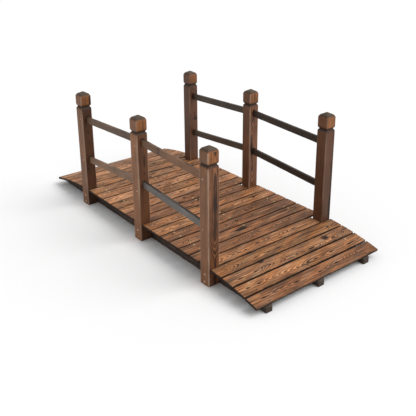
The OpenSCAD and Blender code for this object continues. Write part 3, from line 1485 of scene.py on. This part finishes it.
@dataclass(frozen=True)
class Corner:
    """One corner of a post's profile: its height, its half width, and how far from it the curve starts."""

    height: float
    half: float
    reach: float = 0.0

    def eased(self, before: Optional["Corner"], after: Optional["Corner"], steps: int = 4) -> list[Pair]:
        """Rounds the corner.

        Args:
            before: The corner before it, or None at the start.
            after: The corner after it, or None at the end.
            steps: How many pieces the curve has.

        Returns:
            The points that stand for the corner.
        """
        corner = np.array((self.height, self.half))
        if before is None or after is None or self.reach == 0:
            return [tuple(corner)]
        ends = []
        for other in (before, after):
            way = np.array((other.height, other.half)) - corner
            ends.append(corner + way / np.linalg.norm(way) * min(self.reach, np.linalg.norm(way) / 2))
        start, end = ends
        shares = [k / steps for k in range(steps + 1)]
        return [tuple((1 - t) ** 2 * start + 2 * t * (1 - t) * corner + t * t * end) for t in shares]


@dataclass
class Post:
    """One square post with bevelled corners, a V groove and a pyramid cap.

    A field named ease says how far from a corner its curve starts, and one named room how near to a
    face or a bevel a point counts as on it. The pith is given as ranges in millimetres.
    """

    low: Vector
    high: Vector
    number: int
    bevel: float = 3 * MM
    neck_height: float = 24 * MM
    neck_depth: float = 7 * MM
    lip_height: float = 7 * MM
    lip_depth: float = 2.5 * MM
    cap_rise: float = 16 * MM
    cap_side: float = 42 * MM
    roof_below: float = 5 * MM
    roof_above: float = 6 * MM
    roof_inwards: float = 6.5 * MM
    tip: float = 0.6 * MM
    foot_ease: float = 1.5 * MM
    ease: float = 3 * MM
    neck_ease: float = 1.5 * MM
    edge_ease: float = 3.5 * MM
    row: float = 6 * MM
    columns: int = 15
    column_share: float = 0.94
    least_bevel: float = 0.8 * MM
    arris_share: float = 0.35
    widest_arris: float = 1.6 * MM
    arris_cut: float = 0.7
    sharp: float = 42.0
    outer_room: float = 0.3 * MM
    face_room: float = 1.4 * MM
    bevel_room: float = 0.8 * MM
    side_room: float = 0.5 * MM
    # Painted shade in the V groove: how far it reaches and how dark it is
    groove_reach: float = 12 * MM
    groove_shade: float = 0.8
    roof_start: float = 3 * MM
    roof_reach: float = 8 * MM
    roof_char: float = 0.3
    eaves_reach: float = 5 * MM
    eaves_char: float = 0.5
    # The walls inside the mortises, from a little above the foot, carry painted shade
    pocket_foot: float = 3 * MM
    pocket_shade: float = 1.2
    # How far up and how much the post darkens towards the foot
    foot_reach: float = 10 * MM
    foot_darkening: float = 0.4
    bands: float = 0.12
    warmth: Colour = (1.02, 0.98, 0.86)
    shade: Pair = (0.1, 300 * MM)
    pith_out: Pair = (8, 15)
    pith_aside: Pair = (-3, 6)
    grain_start: float = 90.0
    grain_step: float = 6.1
    grain_reach: float = 290
    screw_turn: float = 1.5
    screw_heights: Pair = (14 * MM, 45 * MM)
    screw_sunk: float = 0.5 * MM
    dowel_heights: Pair = (230 * MM, 433 * MM)
    dowel_aside: float = 8 * MM
    pin_size: float = 0.55
    hollow: Pair = (7 * MM, 0.9 * MM)

    def __post_init__(self) -> None:
        """Works out the post's middle, its heights and its grain."""
        self.centre = (self.low + self.high) / 2
        self.foot = Vector((self.centre.x, self.centre.y, 0.0))
        self.half = (self.high.x - self.low.x) / 2
        self.tall = self.high.z
        self.crown = self.tall - self.cap_rise
        self.cap = self.crown - self.cap_side
        self.neck = self.cap - self.neck_height / 2
        # The post's stain, with painted shade for how light falls on each face
        self.stain = POST_STAINS_AND_SHADE[self.number]
        rng = np.random.default_rng(500 + self.number)
        self.pith = (rng.uniform(*self.pith_out) * MM, rng.uniform(*self.pith_aside) * MM)
        made_up = GrainHabit(lively=0.7).figure(300 + self.number, self.grain_reach)
        figure = POST_FIGURES.get(self.number, made_up)
        self.figure = replace(figure, marks=figure.marks + CAP_MARKS.get(self.number, ()))

    def profile(self) -> list[Pair]:
        """Gives the post's half width at each height, with its edges eased.

        Returns:
            Pairs of height and half width, from the ground up.
        """
        half = self.half
        lip = self.neck_height / 2 - self.lip_height
        corners = [
            Corner(0.0, half - self.foot_ease),
            Corner(self.foot_ease, half),
            Corner(self.cap - self.neck_height, half, self.edge_ease),
            Corner(self.neck - lip, half - self.lip_depth, self.ease),
            Corner(self.neck, half - self.neck_depth, self.neck_ease),
            Corner(self.neck + lip, half - self.lip_depth, self.ease),
            Corner(self.cap, half, self.edge_ease),
            Corner(self.crown - self.roof_below, half, self.ease),
            Corner(self.crown + self.roof_above, half - self.roof_inwards, self.ease),
            Corner(self.tall, self.tip),
        ]
        line: list[Pair] = []
        for before, here, after in zip([None, *corners[:-1]], corners, [*corners[1:], None]):
            line.extend(here.eased(before, after))
        full: list[Pair] = [line[0]]
        for z, a in line[1:]:
            z0, a0 = full[-1]
            pieces = max(1, math.ceil((z - z0) / self.row))
            steps = range(1, pieces + 1)
            full.extend((z0 + (z - z0) * k / pieces, a0 + (a - a0) * k / pieces) for k in steps)
        return full

    def section(self, half: float) -> list[Pair]:
        """Gives the outline at one height: four faces and four bevels with eased edges.

        Args:
            half: Half the width between two faces.

        Returns:
            Points round the outline.
        """
        bevel = max(2 * (half - self.half) + self.bevel, min(self.least_bevel, half / 2))
        flat = half - bevel
        ease = self.arris_share * min(bevel, self.widest_arris)
        columns = np.linspace(-self.column_share, self.column_share, self.columns)
        side = [(half, (flat - ease) * t) for t in (-1.0, *columns, 1.0)]
        cut = self.arris_cut * ease
        side.append((half - cut, flat + cut))
        side.append((flat + cut, half - cut))
        return turned_round(side)

    def build(self, name: str, holes: list[list[Vector]], outward: int, finish: Material) -> Mesh:
        """Builds the post's mesh, cuts its mortises and writes its grain.

        Args:
            name: The mesh's name.
            holes: The corners of each mortise.
            outward: Which way along Y the post's outer face looks.
            finish: Its material.

        Returns:
            The finished mesh.
        """
        rings = [[(x, y, z) for x, y in self.section(a)] for z, a in self.profile()]
        count = len(rings[0])
        last = (len(rings) - 1) * count
        faces: Faces = []
        for low in range(0, last, count):
            for k in range(count):
                after = (k + 1) % count
                faces.append((low + k, low + after, low + count + after, low + count + k))
        faces.append(tuple(reversed(range(count))))
        faces.append(tuple(last + k for k in range(count)))
        pressed = self._press(np.array([p for ring in rings for p in ring]), outward)
        blank = bpy.data.meshes.new(name)
        blank.from_pydata([tuple(p) for p in pressed + np.array(self.foot)], [], faces)
        mesh = cut_holes(blank, holes)
        co = np.zeros(len(mesh.vertices) * 3, np.float32)
        mesh.vertices.foreach_get("co", co)
        return self._look(co.reshape(-1, 3) - np.array(self.foot)).dress_mesh(mesh, finish, self.sharp)

    def _press(self, points: np.ndarray, outward: int, steep: float = 1.6) -> np.ndarray:
        """Presses a hollow into the outer face round each screw.

        Args:
            points: The post's points, from its own foot.
            outward: Which way its outer face looks.
            steep: How much sooner than at its middle a hollow is at its deepest.

        Returns:
            The points with the hollows.
        """
        reach, deepest = self.hollow
        outer = points[:, 1] * outward > self.half - self.outer_room
        for x, z in self._screw_places():
            away = np.hypot(points[:, 0] - x, points[:, 2] - z)
            depth = deepest * np.minimum(1, steep * near(away, reach))
            points[:, 1] -= np.where(outer, outward * depth, 0)
        return points

    def _screw_places(self) -> list[Pair]:
        """Gives the screws' places on the outer face, across it and up it.

        Returns:
            First the screws at the foot, then those at the rails.
        """
        feet = [(0.0, z) for z in self.screw_heights]
        right_hand = self.number % 3 == 2
        aside = -self.dowel_aside if right_hand else self.dowel_aside
        return feet + [(aside, z) for z in self.dowel_heights]

    def screws(self, outward: int) -> list[Screw]:
        """Gives the post's screws, sunk below its outer face.

        Args:
            outward: Which way its outer face looks.

        Returns:
            The screws.
        """
        rng = np.random.default_rng(700 + self.number)
        depth = self.half - self.screw_sunk
        sizes = [1.0] * len(self.screw_heights) + [self.pin_size] * len(self.dowel_heights)
        made = []
        for (x, z), size in zip(self._screw_places(), sizes):
            place = Vector((self.centre.x + x, self.centre.y + outward * depth, z))
            made.append(Screw(place, Vector((0, outward, 0)), rng.uniform(0, self.screw_turn), size))
        return made

    def _look(self, p: np.ndarray) -> WoodLook:
        """Works out what the finish reads on the post.

        Args:
            p: The post's points, from its own foot.

        Returns:
            The post's look.
        """
        x, y, z = p.T
        figure = self.figure
        middle = self.tall / 2
        off = figure.heart_at(z - middle)
        shifted = z + self.grain_start + self.grain_step * self.number
        grain = np.stack([x - self.pith[0], y - self.pith[1] - off, shifted], 1)
        inside = np.maximum(np.abs(x), np.abs(y)) < self.half - self.face_room
        pocket = inside & (z < self.neck - self.neck_height / 2) & (z > self.pocket_foot)
        bevelled = np.abs(x) + np.abs(y) > 2 * self.half - self.bevel - self.bevel_room
        groove = bell(z - self.neck, self.groove_reach)
        top = np.clip((z - self.crown + self.roof_start) / self.roof_reach, 0, 1)
        onto_x = np.abs(x) > self.half - self.side_room
        marked = figure.char_at(z - middle, y) * onto_x
        # The V groove is darkened with painted shade
        char = scorched(marked) + self.groove_shade * groove + self.roof_char * top
        char = char + self.eaves_char * bell(z - self.crown, self.eaves_reach)
        # Inside the mortises the wood is painted dark as shade
        char = np.where(pocket & ~bevelled, self.pocket_shade, char + self.foot_darkening * near(z, self.foot_reach))
        wear = np.where(bevelled & ~pocket, self.stain.wear, 0.0) * (1 - top) * (1 - groove)
        bands = np.where(onto_x, self.stain.side_bands, self.bands)
        tint = self._tint(p, top) * paled(marked)[:, None]
        return WoodLook(grain, figure.drift_at(z - middle, y), np.stack([bands, char, wear], 1), tint)

    def _tint(self, p: np.ndarray, top: np.ndarray) -> np.ndarray:
        """Gives the wood's colour on each face, on the cap and on top of it, with painted shade that
        differs from face to face.

        Args:
            p: The post's points, from its own foot.
            top: How much each point belongs to the pyramid.

        Returns:
            The colour at each point.
        """
        x, y, z = p.T
        stain = self.stain
        onto_x = np.clip((np.abs(x) - np.abs(y)) / (2 * self.bevel) + 0.5, 0, 1)[:, None]
        # Each face's level is its stain together with painted shade for how light falls on that face, and
        # the same on the cap
        face, side = stain.face.shaded(stain.face_level), stain.side.shaded(stain.side_level)
        cap_face, cap_side = stain.face.shaded(stain.cap_level), Tone.GINGER.shaded(stain.cap_side_level)
        shaft = face * (1 - onto_x) + side * onto_x
        colour = np.where((z > self.neck)[:, None], cap_face * (1 - onto_x) + cap_side * onto_x, shaft)
        colour = colour + (Tone.SMOKED.shaded(stain.roof_level) - colour) * top[:, None]
        colour = colour * np.array(self.warmth)
        return colour * (1 + sway(400 + self.number, self.shade, z))[:, None]


def cut_holes(blank: Mesh, holes: list[list[Vector]]) -> Mesh:
    """Cuts six-sided holes in a mesh.

    Args:
        blank: The mesh before it is cut.
        holes: The eight corners of each hole.

    Returns:
        The mesh with its holes.
    """
    faces = [(3, 2, 1, 0), (4, 5, 6, 7), (0, 1, 5, 4), (1, 2, 6, 5), (2, 3, 7, 6), (3, 0, 4, 7)]
    points = [corner for hole in holes for corner in hole]
    sides = [tuple(8 * i + k for k in face) for i in range(len(holes)) for face in faces]
    cutter_mesh = bpy.data.meshes.new("mortise_cutter")
    cutter_mesh.from_pydata(points, [], sides)
    cutter = show("mortise_cutter", cutter_mesh)
    work = show("post_blank", blank)
    cut = work.modifiers.new("mortises", "BOOLEAN")
    cut.object = cutter
    cut.operation = "DIFFERENCE"
    cut.solver = "EXACT"
    bpy.context.view_layer.update()
    ready = work.evaluated_get(bpy.context.evaluated_depsgraph_get())
    mesh = bpy.data.meshes.new_from_object(ready)
    for item in (cutter, work):
        bpy.data.objects.remove(item)
    return mesh


@dataclass
class Railing:
    """The posts and rails of both sides.

    Upper and lower are the heights of the rails' tops, at the middle post and at the end posts.
    """

    upper: Pair = (465 * MM, 443 * MM)
    lower: Pair = (278 * MM, 245 * MM)
    tenon: float = 15 * MM
    side_room: float = 2 * MM
    top_room: float = 1 * MM
    end_room: float = 1 * MM
    mouth_room: float = 5 * MM
    rim: Pair = (0.4 * MM, 1.2 * MM)
    radius: float = 1.2 * MM
    pith_aside: float = 26 * MM
    bands: float = 0.12
    wear: float = 0.25
    # How far and how much the rails darken towards the posts: stain and painted shade where they enter the
    # mortises
    joint_reach: float = 22 * MM
    joint_char_and_shade: float = 0.6
    knot_reach: float = 13 * MM
    knot_char: float = 0.6
    grid: tuple[float, float, float] = (12 * MM, 2.5 * MM, 4.5 * MM)
    pith_share: float = 0.6
    grain_start: float = 40.0
    grain_step: float = 4.3
    top_swing: Pair = (0.3, 300 * MM)
    patches: Pair = (0.14, 250 * MM)
    screws: list[Screw] = field(default_factory=list)

    def build(self) -> None:
        """Builds the posts, the rails and their screws."""
        satin = {"streak": 0.3, "swing": 0.25, "stripe": 330.0, "ragged": 0.5,
                 "roughness": 0.45, "specular": 0.3}
        post_finish = CharredFir("post_fir", worn=paint("a58a76"), ring=5 * MM, **satin).build()
        rail_finish = CharredFir("rail_fir", worn=paint("7d6a5c"), ring=4 * MM, **satin).build()
        for first, side in ((0, "front"), (3, "back")):
            for number, place in enumerate(("left", "middle", "right"), first):
                self._post(f"post_{side}_{place}", number, self.rails_of(side), post_finish)
        for first, side in ((0, "front"), (10, "back")):
            for number, (node, line) in enumerate(self.rails_of(side).items(), first):
                self._rail(node, line, number, rail_finish)
        copper = ZincSteel("railing_zinc", paint("f4d3bf"), paint("c39a84"), (0.1, 0.7), metal=0.5).build()
        ScrewSet("railing_screws", self.screws, head_radius=4.6 * MM, recess_half=1.8 * MM).build(copper)

    def rails_of(self, side: str) -> dict[str, RailLine]:
        """Gives the line of each rail on one side.

        Args:
            side: The side, front or back.

        Returns:
            Each rail's line, by the name of its node.
        """
        centres = [self._centre(f"post_{side}_{place}") for place in ("left", "middle", "right")]
        found = {}
        for bay, name in enumerate(("left", "right")):
            for level, (mid, end) in (("upper", self.upper), ("lower", self.lower)):
                heights = (end, mid) if bay == 0 else (mid, end)
                ends = [Vector((centres[bay + i].x, centres[bay].y, heights[i])) for i in (0, 1)]
                found[f"rail_{side}_{name}_{level}"] = RailLine(*ends)
        return found

    @staticmethod
    def _centre(node: str) -> Vector:
        """Gives the middle of a node's box."""
        low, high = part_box(node)
        return (low + high) / 2

    def _rail(self, node: str, line: RailLine, number: int, finish: Material) -> None:
        """Builds one rail.

        Args:
            node: The node that it stands for.
            line: Its line.
            number: Its number, which fixes its grain.
            finish: Its material.
        """
        low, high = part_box(node)
        depth = line.depth()
        half = line.thickness / 2
        rim = np.array(self.rim)
        along = ribs(low.x, high.x, self.grid[0], rim)
        across = ribs(-half, half, self.grid[1], rim)
        stick = Stick(along, across, ribs(-depth, 0, self.grid[2], rim), self.radius)
        stick.soften(70 + number)
        x, y, z = stick.points.T
        middle = (low.x + high.x) / 2
        figure = GrainHabit(lively=0.5).figure(80 + number, (high.x - low.x) / 2 / MM)
        # The rail's stain, with painted shade that makes the back rails darkest
        stain = next(stain for part, stain in RAIL_STAINS_AND_SHADE.items() if part in node)
        shifted = x + self.grain_start + self.grain_step * number
        grain = np.stack([y + self.pith_aside, z + depth * self.pith_share, shifted], 1)
        crown = np.clip(1 + z / self.radius, 0, 1)
        # The rail darkens towards each post, with stain and painted shade at the joint
        joint = near(high.x - middle - np.abs(x - middle) - self.tenon, self.joint_reach)
        char = (stain.burnt_top + sway(130 + number, self.top_swing, x)) * crown + self.joint_char_and_shade * joint
        if stain.knot is not None:
            char = char + self.knot_char * bell(x - middle - stain.knot, self.knot_reach)
        dress = np.stack([np.full(len(x), self.bands), char, self.wear * stick.arris() * (1 - crown)], 1)
        patch = 1 + sway(150 + number, self.patches, x)
        # The rail's colour: its stain with painted shade, from one end to the other
        tint = stain.colours((x - low.x) / (high.x - low.x)) * patch[:, None]
        look = WoodLook(grain, figure.drift_at(x - middle, z + depth / 2), dress, tint)
        points = np.stack([x, y + line.start.y, z + line.top(x)], 1)
        lay_stick(node, "rail_wood", points, stick.faces, look, finish)

    def _post(self, node: str, number: int, rails: dict[str, RailLine], finish: Material) -> None:
        """Builds one post with its mortises and drives its screws.

        Args:
            node: The node that it stands for.
            number: Its number.
            rails: The rails of its side.
            finish: Its material.
        """
        post = Post(*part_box(node), number)
        outward = -1 if "front" in node else 1
        holes = []
        for line in rails.values():
            for end, into in ((line.start, 1), (line.end, -1)):
                if abs(end.x - post.centre.x) < post.half:
                    holes.append(self._mortise(line, post, into))
        mesh = post.build(node + "_fir", holes, outward, finish)
        place_piece(mesh, node + "_fir", "post_wood", node)
        self.screws.extend(post.screws(outward))

    def _mortise(self, line: RailLine, post: Post, into: int) -> list[Vector]:
        """Gives the eight corners of the hole for one rail end.

        Args:
            line: The rail's line.
            post: The post that the hole is cut in.
            into: 1 where the rail leaves the post to the right, -1 to the left.

        Returns:
            The corners: first the four at one end in X, then the four at the other.
        """
        mouth = post.centre.x + into * (post.half + self.mouth_room)
        blind = post.centre.x + into * (post.half - self.tenon - self.end_room)
        front = post.centre.y - line.thickness / 2 - self.side_room
        back = post.centre.y + line.thickness / 2
        corners = []
        for x in sorted((mouth, blind)):
            top = float(line.top(np.array([x]))[0])
            floor, roof = top - line.depth(), top + self.top_room
            outline = ((front, floor), (back, floor), (back, roof), (front, roof))
            corners += [Vector((x, y, z)) for y, z in outline]
        return corners


@dataclass
class Studio:
    """The floor, the light and the camera."""

    floor_half: float = 14.0
    floor_depth: float = 0.05 * MM
    floor_colour: Colour = (0.93, 0.93, 0.93)
    sky: float = 0.62
    sun: float = 1.9
    sun_place: Vector = field(default_factory=lambda: Vector((1.6, 1.3, 2.6)))
    sun_spread: float = 50.0
    camera_place: Vector = field(default_factory=lambda: Vector((2.1735, -1.65837, 1.35677)))
    camera_turn: tuple[float, float, float] = (70.0991, 0.4403, 51.6356)
    lens: float = 56.3625
    sensor: float = 36.0
    shift: Pair = (0.00308, -0.1586)

    def build(self) -> None:
        """Sets up the floor, the world, the lamp and the camera."""
        bpy.context.scene.view_settings.view_transform = "Standard"
        self._floor()
        self._world()
        self._key()
        self._camera()
        LOG.info("studio ready")

    def _floor(self) -> None:
        """Lays the pale floor, a hair under the bridge's feet."""
        corners = [(x * self.floor_half, y * self.floor_half, -self.floor_depth)
                   for x, y in ((-1, -1), (1, -1), (1, 1), (-1, 1))]
        mesh = bpy.data.meshes.new("floor")
        mesh.from_pydata(corners, [], [(0, 1, 2, 3)])
        sheet = Sheet(bpy.data.materials.new("floor_white"))
        mesh.materials.append(sheet.end(sheet.node("ShaderNodeBsdfDiffuse", {"Color": self.floor_colour})))
        floor = show("floor", mesh)

    def _world(self) -> None:
        """Makes a plain sky that is white where it is looked at."""
        sheet = Sheet(bpy.data.worlds.new("studio_sky"))
        rays = sheet.node("ShaderNodeLightPath").outputs
        seen = sheet.plus(rays["Is Camera Ray"], rays["Is Glossy Ray"])
        seen = sheet.math("ADD", seen, rays["Is Transmission Ray"], clamp=True)
        dim = sheet.node("ShaderNodeBackground", {"Color": (1.0, 1.0, 1.0), "Strength": self.sky})
        white = sheet.node("ShaderNodeBackground", {"Color": (1.0, 1.0, 1.0)})
        mix = sheet.node("ShaderNodeMixShader", {0: seen, 1: dim.outputs[0], 2: white.outputs[0]})
        bpy.context.scene.world = sheet.end(mix, "ShaderNodeOutputWorld")

    def _key(self) -> None:
        """Hangs a wide, soft sun above the bridge's back right."""
        lamp = bpy.data.lights.new("soft_sun", "SUN")
        lamp.energy = self.sun
        lamp.angle = math.radians(self.sun_spread)
        key = show("soft_sun", lamp)
        key.location = self.sun_place
        key.rotation_euler = (-self.sun_place).to_track_quat("-Z", "Y").to_euler()

    def _camera(self) -> None:
        """Places the camera where the photograph was taken from."""
        data = bpy.data.cameras.new("camera")
        data.lens = self.lens
        data.sensor_width = self.sensor
        data.shift_x, data.shift_y = self.shift
        camera = show("camera", data)
        camera.location = self.camera_place
        camera.rotation_euler = Euler([math.radians(a) for a in self.camera_turn], "XYZ")
        bpy.context.scene.camera = camera


def main() -> None:
    """Builds the bridge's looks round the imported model."""
    logging.basicConfig(level=logging.INFO, format="%(message)s")
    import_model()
    Deck().build()
    Stringers().build()
    Railing().build()
    Studio().build()


if __name__ == "__main__":
    main()
